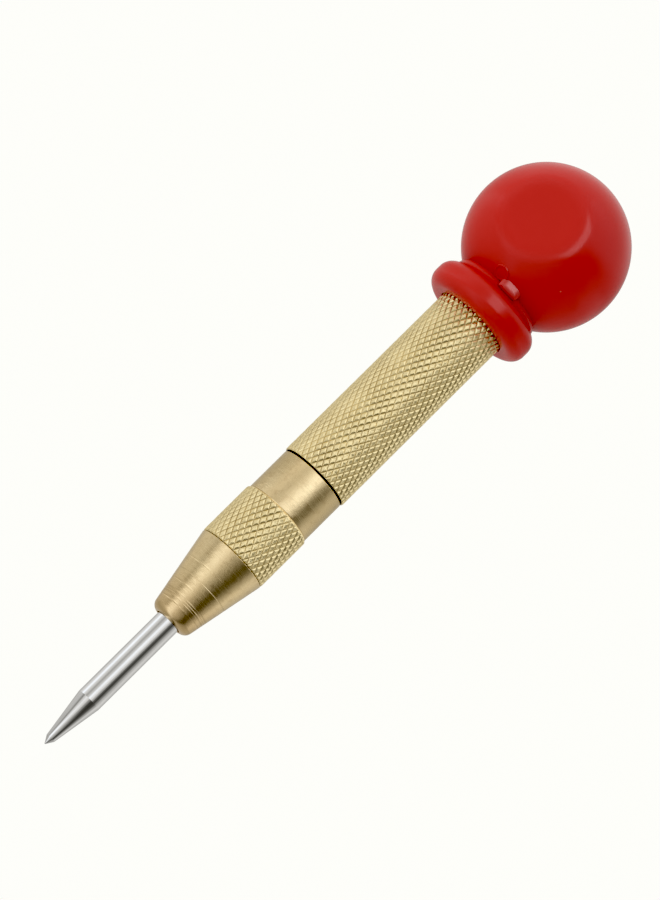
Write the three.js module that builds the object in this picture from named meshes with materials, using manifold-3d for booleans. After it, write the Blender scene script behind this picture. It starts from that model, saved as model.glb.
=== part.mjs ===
// An automatic centre punch: pushed down by its ball, it winds up a spring and then lets a hammer
// fall on its own point, which marks the work.
// It stands on its point: the origin is the tip, and +Z runs up the tool's axis to the ball.
// Lengths are in millimetres and angles in degrees.

import * as THREE from 'three';
import { mergeVertices } from 'three/addons/utils/BufferGeometryUtils.js';
import Module from 'manifold-3d';

const wasm = await Module();
wasm.setup();

// Driving dimensions of the whole tool
const LENGTH = 130;
const BALL_RADIUS = 14;
const BARREL_RADIUS = 6.45;
const STROKE = 11;

// Clearances: between pieces that rest on each other, and between a shaft and its bore
const REST_GAP = 0.3;
const BORE_GAP = 0.2;

// The point: a small steep tip on a long taper on a rod
const TIP_LENGTH = 1.3;
const TIP_RADIUS = 0.85;
const TAPER_END = 9.9;
const ROD_RADIUS = 2.2;
const COLLAR_RADIUS = 3.7;
const COLLAR_LENGTH = 3.5;
const SOCKET_LENGTH = 5;
const SOCKET_WALL = 1.15;
const SOCKET_FLOOR = 1;

// The nose: a cone, a knurled band, a plain band and a spigot that goes up into the barrel
const NOSE_FRONT = 27.9;
const NOSE_LIP_RADIUS = 2.6;
const NOSE_ROUNDING = 1.3;
const NOSE_CONE_HALF_ANGLE = 10.8;
const NOSE_BAND_FRONT = 42.8;
const NOSE_BAND_RADIUS = 6.5;
const NOSE_PLAIN_FRONT = 53.5;
const NOSE_PLAIN_RADIUS = 6.25;
const NOSE_BACK = 61.05;
const NOSE_SHOULDER = 37.5;
const CHAMBER_RADIUS = 4.1;
const SPIGOT_RADIUS = 5.1;
const SPIGOT_LENGTH = 8.95;

// The barrel: a tube with an inner ring that stops the hammer, and a wider bore at each end
const BARREL_FRONT = 61.4;
const BARREL_BACK = 110;
const BARREL_CHAMFER = 0.35;
const RING_FRONT = 70.4;
const RING_LENGTH = 3;
const RING_RADIUS = 3;
const HAMMER_BORE_RADIUS = 4.9;
const CAP_THREAD_RADIUS = 5.55;
const CAP_THREAD_FRONT = 100.4;

// The drift pin, which stands in the point's socket and reaches up to the hammer
const PIN_RADIUS = 1.5;
const PIN_TAIL_RADIUS = 1.4;
const PIN_COLLAR_FRONT = 52;
const PIN_COLLAR_LENGTH = 1.5;
const PIN_COLLAR_RADIUS = 2.9;
const PIN_BOSS_RADIUS = 2.1;
const PIN_BOSS_LENGTH = 8;
const PIN_CONE_LENGTH = 2.5;

// The hammer
const HAMMER_LENGTH = 16;
const HAMMER_HOLE_RADIUS = 1.7;
const HAMMER_HOLE_MOUTH = 0.5;
const HAMMER_SPIGOT_RADIUS = 2.6;
const HAMMER_SPIGOT_LENGTH = 3;

// The adjusting cap, a cup that screws into the barrel and holds the main spring's far end
const CAP_THREAD_START = 103.5;
const CAP_HEAD_RADIUS = 6.35;
const CAP_HEAD_FRONT = 113;
const CAP_BACK = 124.5;
const CAP_FLOOR = 121.3;
const CAP_BORE_RADIUS = 4.4;
const CAP_CHAMFER = 0.6;

// The springs
const MAIN_SPRING_WIRE = 1.3;
const MAIN_SPRING_RADIUS = 3.55;
const MAIN_SPRING_TURNS = 12;
const RETURN_SPRING_WIRE = 0.6;
const RETURN_SPRING_SMALL_RADIUS = 2.55;
const RETURN_SPRING_LARGE_RADIUS = 3.6;
const RETURN_SPRING_TURNS = 5;

// The ball cap: a flange with a round rim, a short neck and the ball with two side flats
const FLANGE_FRONT = 98;
const FLANGE_BACK = 103.3;
const FLANGE_RIM_RADIUS = 2.2;
const FLANGE_RADIUS = 10.1;
const NECK_FILLET = 1.2;
const BALL_BORE_GAP = 0.3;
const BALL_FLAT_DEPTH = 1.9;

// How finely the round pieces are divided
const SIDES_LARGE = 48;
const SIDES_MEDIUM = 36;
const SIDES_SMALL = 24;
const BALL_STEPS = 20;
const ARC_STEPS = 6;
const COIL_STEPS_PER_TURN = 12;
const WIRE_SIDES = 6;

// Places worked out from the dimensions above
const COLLAR_FRONT = NOSE_SHOULDER + REST_GAP;
const COLLAR_BACK = COLLAR_FRONT + COLLAR_LENGTH;
const SOCKET_BACK = COLLAR_BACK + SOCKET_LENGTH;
const SOCKET_BOTTOM = COLLAR_BACK + SOCKET_FLOOR;
const SOCKET_RADIUS = PIN_RADIUS + BORE_GAP + 0.05;
const SPIGOT_BACK = NOSE_BACK + SPIGOT_LENGTH;
const RING_BACK = RING_FRONT + RING_LENGTH;
const PIN_FRONT = SOCKET_BOTTOM + REST_GAP;
const PIN_BACK = RING_BACK;
const HAMMER_FRONT = RING_BACK + REST_GAP;
const HAMMER_BACK = HAMMER_FRONT + HAMMER_LENGTH;
const HAMMER_HOLE_DEPTH = PIN_BACK + STROKE + REST_GAP - HAMMER_FRONT;
const BALL_CENTRE = LENGTH - BALL_RADIUS;
const MOUTH_RADIUS = BARREL_RADIUS + BALL_BORE_GAP;

// Points of an arc in an outline, as [radius, height] pairs
function arc(centreRadius, centreHeight, arcRadius, fromDegrees, toDegrees, steps) {
  const points = [];
  for (let i = 0; i <= steps; i += 1) {
    const angle = THREE.MathUtils.degToRad(THREE.MathUtils.lerp(fromDegrees, toDegrees, i / steps));
    const radius = centreRadius + arcRadius * Math.cos(angle);
    points.push([radius, centreHeight + arcRadius * Math.sin(angle)]);
  }
  return points;
}

// Merges shared vertices and drops the empty triangles that a lathe leaves on its axis
function welded(geometry) {
  const bare = geometry.clone();
  bare.deleteAttribute('normal');
  bare.deleteAttribute('uv');
  const merged = mergeVertices(bare);
  const corners = merged.index.array;
  const kept = [];
  for (let i = 0; i < corners.length; i += 3) {
    const [a, b, c] = [corners[i], corners[i + 1], corners[i + 2]];
    if (a !== b && b !== c && c !== a) {
      kept.push(a, b, c);
    }
  }
  merged.setIndex(kept);
  return merged;
}

// A turned piece: its outline runs up the outside and, on a hollow piece, back down the inside
function turned(outline, sides) {
  const points = outline.map(([radius, height]) => new THREE.Vector2(radius, height));
  const lathe = new THREE.LatheGeometry(points, sides);
  lathe.rotateX(Math.PI / 2);
  return welded(lathe);
}

// A turned piece with a hole right through: the outline closes on its first point
function turnedRing(outline, sides) {
  return turned([...outline, outline[0]], sides);
}

function toManifold(geometry) {
  const vertProperties = new Float32Array(geometry.attributes.position.array);
  const triVerts = new Uint32Array(geometry.index.array);
  return new wasm.Manifold(new wasm.Mesh({ numProp: 3, vertProperties, triVerts }));
}

function cutAway(geometry, tools) {
  let body = toManifold(geometry);
  for (const tool of tools) {
    body = body.subtract(toManifold(welded(tool)));
  }
  const mesh = body.getMesh();
  const result = new THREE.BufferGeometry();
  result.setAttribute('position', new THREE.BufferAttribute(mesh.vertProperties, 3));
  result.setIndex(new THREE.BufferAttribute(mesh.triVerts, 1));
  return result;
}

// The centre line of a spring whose first and last turns lie almost closed
class Coil extends THREE.Curve {
  constructor({ fromRadius, toRadius, fromHeight, toHeight, turns, wire }) {
    super();
    Object.assign(this, { fromRadius, toRadius, turns });
    this.low = fromHeight + wire / 2;
    this.high = toHeight - wire / 2;
    this.endTurn = wire * 1.15;
  }

  getPoint(t, target = new THREE.Vector3()) {
    const turn = t * this.turns;
    const openPitch = (this.high - this.low - 2 * this.endTurn) / (this.turns - 2);
    const opened = THREE.MathUtils.clamp(turn - 1, 0, this.turns - 2);
    const closed = turn - opened;
    const angle = turn * 2 * Math.PI;
    const radius = THREE.MathUtils.lerp(this.fromRadius, this.toRadius, t);
    const height = this.low + opened * openPitch + closed * this.endTurn;
    return target.set(radius * Math.cos(angle), radius * Math.sin(angle), height);
  }
}

function spring(dimensions) {
  const section = new THREE.Shape();
  for (let i = 0; i < WIRE_SIDES; i += 1) {
    const angle = (i / WIRE_SIDES) * 2 * Math.PI;
    const [x, y] = [Math.cos(angle), Math.sin(angle)].map((s) => (s * dimensions.wire) / 2);
    if (i === 0) {
      section.moveTo(x, y);
    } else {
      section.lineTo(x, y);
    }
  }
  const options = {
    steps: dimensions.turns * COIL_STEPS_PER_TURN,
    bevelEnabled: false,
    extrudePath: new Coil(dimensions),
  };
  return welded(new THREE.ExtrudeGeometry(section, options));
}

// The steel point: tip, taper, rod, a collar that keeps it in the nose, and a socket for the pin
function punchPoint() {
  const socketOuter = SOCKET_RADIUS + SOCKET_WALL;
  return turned(
    [
      [0, 0],
      [TIP_RADIUS, TIP_LENGTH],
      [ROD_RADIUS, TAPER_END],
      [ROD_RADIUS, COLLAR_FRONT],
      [COLLAR_RADIUS, COLLAR_FRONT],
      [COLLAR_RADIUS, COLLAR_BACK],
      [socketOuter, COLLAR_BACK],
      [socketOuter, SOCKET_BACK],
      [SOCKET_RADIUS, SOCKET_BACK],
      [SOCKET_RADIUS, SOCKET_BOTTOM],
      [0, SOCKET_BOTTOM],
    ],
    SIDES_MEDIUM,
  );
}

// The brass nose, with the point's guide bore, its inner shoulder and the spring chamber
function nosePiece() {
  const guideRadius = ROD_RADIUS + BORE_GAP;
  const lipCentre = NOSE_FRONT + NOSE_ROUNDING;
  const lip = arc(NOSE_LIP_RADIUS, lipCentre, NOSE_ROUNDING, -90, -NOSE_CONE_HALF_ANGLE, ARC_STEPS);
  const [lipRadius, lipHeight] = lip[lip.length - 1];
  const coneSlope = Math.tan(THREE.MathUtils.degToRad(NOSE_CONE_HALF_ANGLE));
  const coneEndRadius = lipRadius + coneSlope * (NOSE_BAND_FRONT - lipHeight);
  return turnedRing(
    [
      [guideRadius, NOSE_FRONT],
      ...lip,
      [coneEndRadius, NOSE_BAND_FRONT],
      [NOSE_BAND_RADIUS, NOSE_BAND_FRONT + REST_GAP],
      [NOSE_BAND_RADIUS, NOSE_PLAIN_FRONT],
      [NOSE_PLAIN_RADIUS, NOSE_PLAIN_FRONT],
      [NOSE_PLAIN_RADIUS, NOSE_BACK],
      [SPIGOT_RADIUS, NOSE_BACK],
      [SPIGOT_RADIUS, SPIGOT_BACK],
      [CHAMBER_RADIUS, SPIGOT_BACK],
      [CHAMBER_RADIUS, NOSE_SHOULDER],
      [guideRadius, NOSE_SHOULDER],
    ],
    SIDES_LARGE,
  );
}

// The brass barrel that is gripped, in which the hammer slides
function barrel() {
  const noseBoreRadius = SPIGOT_RADIUS + BORE_GAP;
  return turnedRing(
    [
      [noseBoreRadius, BARREL_FRONT],
      [BARREL_RADIUS - BARREL_CHAMFER, BARREL_FRONT],
      [BARREL_RADIUS, BARREL_FRONT + BARREL_CHAMFER],
      [BARREL_RADIUS, BARREL_BACK - BARREL_CHAMFER],
      [BARREL_RADIUS - BARREL_CHAMFER, BARREL_BACK],
      [CAP_THREAD_RADIUS, BARREL_BACK],
      [CAP_THREAD_RADIUS, CAP_THREAD_FRONT],
      [HAMMER_BORE_RADIUS, CAP_THREAD_FRONT],
      [HAMMER_BORE_RADIUS, RING_BACK],
      [RING_RADIUS, RING_BACK],
      [RING_RADIUS, RING_FRONT],
      [noseBoreRadius, RING_FRONT],
    ],
    SIDES_LARGE,
  );
}

// The pin that carries the push from the point to the hammer, with a collar for its spring
function driftPin() {
  const collarBack = PIN_COLLAR_FRONT + PIN_COLLAR_LENGTH;
  const bossBack = collarBack + PIN_BOSS_LENGTH;
  return turned(
    [
      [0, PIN_FRONT],
      [PIN_RADIUS, PIN_FRONT],
      [PIN_RADIUS, PIN_COLLAR_FRONT],
      [PIN_COLLAR_RADIUS, PIN_COLLAR_FRONT],
      [PIN_COLLAR_RADIUS, collarBack],
      [PIN_BOSS_RADIUS, collarBack],
      [PIN_BOSS_RADIUS, bossBack],
      [PIN_TAIL_RADIUS, bossBack + PIN_CONE_LENGTH],
      [PIN_TAIL_RADIUS, PIN_BACK],
      [0, PIN_BACK],
    ],
    SIDES_SMALL,
  );
}

// The hammer: a steel slug with a blind hole that swallows the pin when it strikes
function hammer() {
  const radius = HAMMER_BORE_RADIUS - BORE_GAP;
  const holeBottom = HAMMER_FRONT + HAMMER_HOLE_DEPTH;
  const mouthRadius = HAMMER_HOLE_RADIUS + HAMMER_HOLE_MOUTH;
  return turned(
    [
      [0, holeBottom],
      [HAMMER_HOLE_RADIUS, holeBottom],
      [HAMMER_HOLE_RADIUS, HAMMER_FRONT + HAMMER_HOLE_MOUTH],
      [mouthRadius, HAMMER_FRONT],
      [radius, HAMMER_FRONT],
      [radius, HAMMER_BACK],
      [HAMMER_SPIGOT_RADIUS, HAMMER_BACK],
      [HAMMER_SPIGOT_RADIUS, HAMMER_BACK + HAMMER_SPIGOT_LENGTH],
      [0, HAMMER_BACK + HAMMER_SPIGOT_LENGTH],
    ],
    SIDES_MEDIUM,
  );
}

// The brass cup that is screwed in or out to set how hard the tool strikes
function adjustingCap() {
  const threadRadius = CAP_THREAD_RADIUS - BORE_GAP;
  return turned(
    [
      [0, CAP_FLOOR],
      [CAP_BORE_RADIUS, CAP_FLOOR],
      [CAP_BORE_RADIUS, CAP_THREAD_START],
      [threadRadius, CAP_THREAD_START],
      [threadRadius, CAP_HEAD_FRONT],
      [CAP_HEAD_RADIUS, CAP_HEAD_FRONT],
      [CAP_HEAD_RADIUS, CAP_BACK - CAP_CHAMFER],
      [CAP_HEAD_RADIUS - CAP_CHAMFER, CAP_BACK],
      [0, CAP_BACK],
    ],
    SIDES_MEDIUM,
  );
}

// The direction from one point to another, measured from the +X side
function degreesTo(from, to) {
  return THREE.MathUtils.radToDeg(Math.atan2(to.y - from.y, to.x - from.x));
}

// The ball cap's outside: over the flange's rim, round the neck's fillet, which touches the rim and
// the ball, and over the ball to its top
function ballCapOutside() {
  const rim = new THREE.Vector2(FLANGE_RADIUS - FLANGE_RIM_RADIUS, FLANGE_BACK - FLANGE_RIM_RADIUS);
  const ball = new THREE.Vector2(0, BALL_CENTRE);
  const toRim = FLANGE_RIM_RADIUS + NECK_FILLET;
  const toBall = BALL_RADIUS + NECK_FILLET;
  const apart = rim.distanceTo(ball);
  const along = (toRim ** 2 - toBall ** 2 + apart ** 2) / (2 * apart);
  const aside = Math.sqrt(toRim ** 2 - along ** 2);
  const upward = ball.clone().sub(rim).normalize();
  const outward = new THREE.Vector2(upward.y, -upward.x);
  const fillet = rim.clone().addScaledVector(upward, along).addScaledVector(outward, aside);
  const rimEnd = degreesTo(rim, fillet);
  const ballStart = degreesTo(ball, fillet);
  return [
    ...arc(rim.x, FLANGE_FRONT + FLANGE_RIM_RADIUS, FLANGE_RIM_RADIUS, -90, 0, ARC_STEPS),
    ...arc(rim.x, rim.y, FLANGE_RIM_RADIUS, 0, rimEnd, ARC_STEPS),
    ...arc(fillet.x, fillet.y, NECK_FILLET, 180 + rimEnd, 180 + ballStart, ARC_STEPS).slice(1, -1),
    ...arc(ball.x, ball.y, BALL_RADIUS, ballStart, 90, BALL_STEPS),
  ];
}

// The plastic ball that is pushed over the adjusting cap and fills the palm
function ballCap() {
  const boreTop = CAP_BACK + BALL_BORE_GAP;
  const outline = [
    [0, boreTop],
    [MOUTH_RADIUS, boreTop],
    [MOUTH_RADIUS, FLANGE_FRONT],
    ...ballCapOutside(),
  ];
  // The arc's last point is on the axis only to within rounding
  outline[outline.length - 1] = [0, LENGTH];
  const flats = [-1, 1].map((side) => {
    const block = new THREE.BoxGeometry(2 * BALL_RADIUS, BALL_RADIUS, 2 * BALL_RADIUS);
    block.translate(0, side * (1.5 * BALL_RADIUS - BALL_FLAT_DEPTH), BALL_CENTRE);
    return block;
  });
  return cutAway(turned(outline, SIDES_LARGE), flats);
}

function mainSpring() {
  return spring({
    fromRadius: MAIN_SPRING_RADIUS,
    toRadius: MAIN_SPRING_RADIUS,
    fromHeight: HAMMER_BACK + REST_GAP,
    toHeight: CAP_FLOOR - REST_GAP,
    turns: MAIN_SPRING_TURNS,
    wire: MAIN_SPRING_WIRE,
  });
}

// The light conical spring that pushes the pin and the point out again
function returnSpring() {
  return spring({
    fromRadius: RETURN_SPRING_SMALL_RADIUS,
    toRadius: RETURN_SPRING_LARGE_RADIUS,
    fromHeight: PIN_COLLAR_FRONT + PIN_COLLAR_LENGTH + REST_GAP,
    toHeight: RING_FRONT - REST_GAP,
    turns: RETURN_SPRING_TURNS,
    wire: RETURN_SPRING_WIRE,
  });
}

function finish(color, roughness, metalness) {
  return new THREE.MeshStandardMaterial({ color, roughness, metalness });
}

const centrePunch = new THREE.Group();

function addPiece(name, geometry, material) {
  const mesh = new THREE.Mesh(geometry, material);
  mesh.name = name;
  centrePunch.add(mesh);
}

addPiece('punch_point', punchPoint(), finish(0xc4c4c2, 0.2, 1));
addPiece('nose_piece', nosePiece(), finish(0xd9bf86, 0.3, 1));
addPiece('barrel', barrel(), finish(0xd9bf86, 0.3, 1));
addPiece('drift_pin', driftPin(), finish(0xa9a9a7, 0.35, 1));
addPiece('return_spring', returnSpring(), finish(0x8e9092, 0.35, 1));
addPiece('hammer', hammer(), finish(0x77787a, 0.45, 1));
addPiece('main_spring', mainSpring(), finish(0x8e9092, 0.35, 1));
addPiece('adjusting_cap', adjustingCap(), finish(0xd9bf86, 0.3, 1));
addPiece('ball_cap', ballCap(), finish(0xa81c14, 0.25, 0));

export default centrePunch;
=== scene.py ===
"""Looks of the automatic centre punch: turned and knurled brass, a polished steel point and a red ball.

The tool stands on its point at the origin, and +Z runs up its axis to the ball. Outlines are written in
millimetres as (radius, height) points, and scaled to metres when a mesh is made.
"""

import math

import bpy
import numpy as np
from mathutils import Euler, Matrix, Vector


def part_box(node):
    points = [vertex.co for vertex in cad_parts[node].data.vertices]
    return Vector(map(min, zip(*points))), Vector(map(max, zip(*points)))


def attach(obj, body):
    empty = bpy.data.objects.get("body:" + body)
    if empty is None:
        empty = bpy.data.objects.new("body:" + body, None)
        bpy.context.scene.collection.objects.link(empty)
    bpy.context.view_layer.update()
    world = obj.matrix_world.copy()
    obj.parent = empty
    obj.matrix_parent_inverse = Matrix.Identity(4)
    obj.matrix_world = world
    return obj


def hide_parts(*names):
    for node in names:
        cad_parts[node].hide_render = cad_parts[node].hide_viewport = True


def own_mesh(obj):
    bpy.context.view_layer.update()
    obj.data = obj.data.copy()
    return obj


MM = 0.001
TINY = 1e-9

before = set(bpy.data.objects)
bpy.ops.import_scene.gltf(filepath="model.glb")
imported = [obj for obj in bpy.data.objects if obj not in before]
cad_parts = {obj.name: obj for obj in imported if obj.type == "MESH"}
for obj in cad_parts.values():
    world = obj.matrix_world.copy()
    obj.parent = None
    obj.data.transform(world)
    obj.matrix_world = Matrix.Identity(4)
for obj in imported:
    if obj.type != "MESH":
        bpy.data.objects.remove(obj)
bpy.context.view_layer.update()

# ---------------------------------------------------------------------------
# Dimensions, in millimetres and degrees
# ---------------------------------------------------------------------------

# Knurling: two crossing sets of equal grooves, the same on the nose and the barrel. CREST is the share of
# a pointed tooth's height where it is cut flat, WEAR is the share by which a tooth may be lower, and STEPS
# is how many parts the mesh has from one groove to the next.
KNURL_STARTS = 36
KNURL_ANGLE = 30
KNURL_DEPTH = 0.16
KNURL_CREST = 0.5
KNURL_WEAR = 0.1
KNURL_STEPS = 8

# The mesh's knurl_height is 1 on the teeth's tops and on plain surfaces, 0 at the teeth's feet, and this in
# the grooves beside the knurling, which are painted near-black as shade.
SHADED_GROOVE_HEIGHT = -1.0

# Edges sharper than this are shaded as edges
SHARP_ANGLE = 35
KNURL_SHARP_ANGLE = 18
WIRE_SHARP_ANGLE = 50

# The point
TIP_LENGTH = 1.3
TIP_RADIUS = 0.85
TIP_ROUNDING = 0.1
TIP_HALF_ANGLE = 33
TAPER_END = 9.9
ROD_RADIUS = 2.2
COLLAR_FRONT = 37.8
COLLAR_LENGTH = 3.5
COLLAR_RADIUS = 3.7
SOCKET_RADIUS = 1.75
SOCKET_OUTER_RADIUS = 2.9
SOCKET_DEPTH = 4

# The nose piece
GUIDE_RADIUS = 2.42
GUIDE_MOUTH_EDGE = 0.12
GUIDE_MOUTH_LENGTH = 1
NOSE_LIP_RADIUS = 2.45
NOSE_ROUNDING = 1.5
NOSE_CONE_HALF_ANGLE = 11
NOSE_CONE_LENGTH = 14.5
NOSE_CONE_END_RADIUS = 6.45
NOSE_CONE_END_BEVEL = 0.08
NOSE_BAND_LENGTH = 10.9
NOSE_KNURL_START = 0.12
NOSE_KNURL_LENGTH = 10.5
NOSE_KNURL_BEVELS = (0.18, 0.32)
NOSE_KNURL_SEED = 7
NOSE_PLAIN_LENGTH = 7.83
NOSE_PLAIN_RADIUS = 6.22
NOSE_PLAIN_BEVEL_DEPTH = 0.06
NOSE_PLAIN_BEVEL_LENGTH = 0.1
NOSE_SHOULDER = 9.6
CHAMBER_RADIUS = 4.1
SPIGOT_RADIUS = 5.1

# The groove between the cone and the knurl, as (depth, distance past the cone's end)
NOSE_GROOVE_EDGE = ((0.06, 0), (0.1, 0.01))
NOSE_GROOVE_FLOOR = ((0.3, 0.02), (0.3, 0.1))

# Tool marks round the cone, as (distance from the nose's front, depth)
CONE_RINGS = (
    (2.45, 0.02), (3.2, 0.025), (3.6, 0.035), (4.0, 0.025), (5.6, 0.01), (7.5, 0.03), (9.8, 0.01),
)
CONE_RING_WIDTH = 0.22

# The outline of one tool mark, as (distance from its middle in widths of the mark, share of its depth)
TOOL_MARK = ((-0.8, 0), (-0.5, 0), (-0.15, 1), (0.15, 1), (0.5, 0), (0.8, 0))

# The barrel
NOSE_BORE_RADIUS = 5.3
NOSE_BORE_LENGTH = 9
RING_RADIUS = 3
RING_LENGTH = 3
HAMMER_BORE_RADIUS = 4.9
CAP_THREAD_RADIUS = 5.55
CAP_THREAD_LENGTH = 9.6
BARREL_KNURL_LENGTH = 40.5
BARREL_KNURL_BEVELS = (0.15, 0.3)
BARREL_KNURL_SEED = 11
BARREL_EDGE_DEPTH = 0.12
BARREL_EDGE_LENGTH = 0.03
BARREL_END_INSET = 0.35
BARREL_END_STEP = 0.4
BARREL_MOUTH_EDGE = 0.2

# The ball cap
FLANGE_RADIUS = 10.1
FLANGE_THICKNESS = 5.3
FLANGE_RIM_RADIUS = 2.2
NECK_FILLET = 1.2
MOUTH_RADIUS = 6.56
BALL_RADIUS = 14
BALL_FLAT_DEPTH = 1.9
BALL_FLAT_SOFTNESS = 0.8
BALL_FACING_LEAST = 0.05
BALL_SKIN = 0.001
BALL_START = 6
BALL_BORE_DEPTH = 25.8

# The moulding gate's mark low on the ball: a rim round a shallow dish. Each DROP is how far below the rim's
# full height its crest or its sides lie, or for DISH how far below the dish's middle its edge lies.
BALL_GATE_ELEVATION = -49.5
BALL_GATE_AZIMUTH = 4
BALL_GATE_RADIUS = 1.45
BALL_GATE_RIM = 0.5
BALL_GATE_HEIGHT = 0.16
BALL_GATE_SINK = 0.1
BALL_GATE_CREST_DROP = 0.03
BALL_GATE_SIDE_DROP = 0.05
BALL_GATE_DISH_DROP = 0.04

# The trimmed pad in the groove between the flange and the ball. FOOT is its foot's size as a share of WIDTH
# and LENGTH, CROWN runs from 0, a flat face, to 1, half an ellipsoid, and SQUARENESS runs from 0, a round
# pad, to 1, a square one.
NECK_PAD_AZIMUTH = 22.5
NECK_PAD_TILT = 6.5
NECK_PAD_RADIUS = 9.1
NECK_PAD_HEIGHT = 105
NECK_PAD_WIDTH = 3.7
NECK_PAD_LENGTH = 2.6
NECK_PAD_DEPTH = 0.8
NECK_PAD_FOOT = 1.1
NECK_PAD_CROWN = 0.7
NECK_PAD_SQUARENESS = 0.7
NECK_PAD_STEPS = 10

# The drift pin
PIN_RADIUS = 1.5
PIN_TAIL_RADIUS = 1.4
PIN_COLLAR_START = 9.4
PIN_COLLAR_LENGTH = 1.5
PIN_COLLAR_RADIUS = 3.25
PIN_BOSS_RADIUS = 2.1
PIN_BOSS_LENGTH = 8
PIN_CONE_LENGTH = 2.5

# The hammer
HAMMER_RADIUS = 4.7
HAMMER_LENGTH = 16
HAMMER_HOLE_RADIUS = 1.7
HAMMER_HOLE_DEPTH = 11
HAMMER_HOLE_MOUTH = 0.5
HAMMER_SPIGOT_RADIUS = 2.6

# The adjusting cap
CAP_HEAD_LENGTH = 11.5
CAP_HEAD_RADIUS = 6.35
CAP_FLOOR_THICKNESS = 3.2
CAP_BORE_RADIUS = 4.4
CAP_SPLINES = 48
CAP_SPLINE_DEPTH = 0.25
CAP_SHOULDER_INSET = 0.5
CAP_FRONT_BEVEL = 0.3
CAP_BACK_BEVEL_START = 0.7
CAP_BACK_BEVEL_END = 0.1
CAP_BACK_BEVEL_INSET = 0.5
CAP_BACK_FACE_INSET = 0.9
THREAD_START = 0.1
THREAD_RUN_OUT = 1
THREAD_RADIUS = 5.35
THREAD_PITCH = 1
THREAD_DEPTH = 0.5
THREAD_ROWS = 8

# The springs
# The main spring starts a little above the hammer, to stay clear of it when the ball is screwed right in.
MAIN_SPRING_SET_BACK = 2.3
MAIN_SPRING_WIRE = 1.3
MAIN_SPRING_RADIUS = 3.55
MAIN_SPRING_TURNS = 12
RETURN_SPRING_WIRE = 0.6
RETURN_SPRING_SMALL_RADIUS = 2.85
RETURN_SPRING_LARGE_RADIUS = 3.6
RETURN_SPRING_TURNS = 5
COIL_STEPS = 36
WIRE_SIDES = 14
END_TURN_PITCH = 1.15

# The stretch of the nose that turns browner and darker towards the lip
LIP_DARKENING_TOP = 38.5
LIP_DARKENING_BOTTOM = 28.5

# ---------------------------------------------------------------------------
# Colours
# ---------------------------------------------------------------------------

BRASS = (0.90, 0.74, 0.46, 1)
BRASS_CLOUD = (0.86, 0.68, 0.40, 1)
BRASS_LIP = (0.74, 0.56, 0.33, 1)
BRASS_STAIN = (0.70, 0.54, 0.32, 1)
KNURL_BRASS = (1.0, 0.865, 0.53, 1)
KNURL_BRASS_CLOUD = (0.97, 0.81, 0.46, 1)
KNURL_DIRT = (0.34, 0.25, 0.13, 1)
# Near-black painted shade for the grooves beside the knurling and the seam at the barrel's front
GROOVE_PAINTED_SHADE = (0.02, 0.016, 0.012, 1)
TOOL_STEEL = (0.84, 0.84, 0.83)
HAMMER_STEEL = (0.36, 0.37, 0.38)
SPRING_STEEL = (0.5, 0.51, 0.52)
STEEL_CLOUD_SHARE = 0.86
RED = (0.525, 0.069, 0.063, 1)
RED_FLOW = (0.50, 0.066, 0.060, 1)
RED_SPECK = (0.75, 0.42, 0.38, 1)
BACKDROP_WHITE = (0.99, 0.99, 0.955, 1)
FLOOR_PAPER = (0.9, 0.9, 0.88, 1)

# ---------------------------------------------------------------------------
# View and light. The camera's distances, and the heights that the lights are placed and aimed by, are in
# millimetres. The other distances and the sizes of the lights and the floor are in metres.
# ---------------------------------------------------------------------------

# The camera
CAMERA_AZIMUTH = 18
CAMERA_ELEVATION = -11.2
CAMERA_DISTANCE = 760
CAMERA_AXIS_ANGLE = 44.7
CAMERA_AIM_HEIGHT = 58
CAMERA_AIM_RIGHT = 4.98
CAMERA_AIM_UP = 6.77
CAMERA_SENSOR = 36
CAMERA_FRAME_HEIGHT = 145.44

# Light cards round the tool: azimuths in degrees from the camera, with their brightness. There are five
# rings of them: two below the horizon, one a little above it, and two higher.
LOWEST_CARDS = (
    (-180, 0.6), (-118, 0.5), (-78, 0.6), (-60, 0.88), (-44, 1.35), (-30, 1.2), (-12, 0.76), (10, 0.56),
    (26, 0.4), (42, 0.14), (60, 0.1), (80, 0.42), (126, 0.55), (180, 0.6),
)
LOWER_CARDS = (
    (-180, 0.6), (-118, 0.55), (-84, 0.6), (-64, 0.36), (-46, 0.8), (-30, 1.0), (-12, 0.85), (4, 0.38),
    (22, 0.12), (42, 0.11), (60, 0.16), (80, 0.45), (100, 0.8), (140, 0.45), (180, 0.6),
)
MIDDLE_CARDS = (
    (-180, 0.7), (-149, 0.55), (-109, 0.85), (-86, 1.2), (-64, 0.8), (-43, 0.5), (-26, 0.72), (-9, 1.15),
    (8, 0.95), (22, 0.55), (36, 0.17), (50, 0.12), (64, 0.28), (84, 0.6), (109, 0.8), (140, 0.6), (160, 0.5),
    (180, 0.6),
)
UPPER_CARDS = (
    (-180, 0.6), (-140, 0.5), (-92, 0.54), (-76, 0.64), (-58, 0.8), (-46, 0.76), (-33, 0.6), (-22, 0.7),
    (-10, 0.88), (2, 1.2), (16, 1.32), (25, 1.15), (34, 0.62), (46, 0.24), (62, 0.17), (78, 0.4), (96, 0.58),
    (118, 0.52), (145, 0.45), (180, 0.55),
)
HIGH_CARDS = (
    (-180, 0.85), (-90, 0.8), (-30, 0.92), (20, 1.15), (70, 1.15), (120, 0.9), (180, 0.85),
)

# Where each ring ends at its top and where the one above it is full, as the height of a direction that
# is 1 long
LOWEST_TOP = -0.245
LOWER_BOTTOM = -0.17
LOWER_TOP = -0.13
MIDDLE_BOTTOM = 0.06
MIDDLE_TOP = 0.145
UPPER_BOTTOM = 0.19
UPPER_TOP = 0.3
HIGH_BOTTOM = 0.62

# The ground, which is mixed into the lowest ring
GROUND_TOP = -0.35
GROUND_FULL = -0.8
GROUND_LEVEL = 0.4
GROUND_SHARE = 0.2

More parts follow.
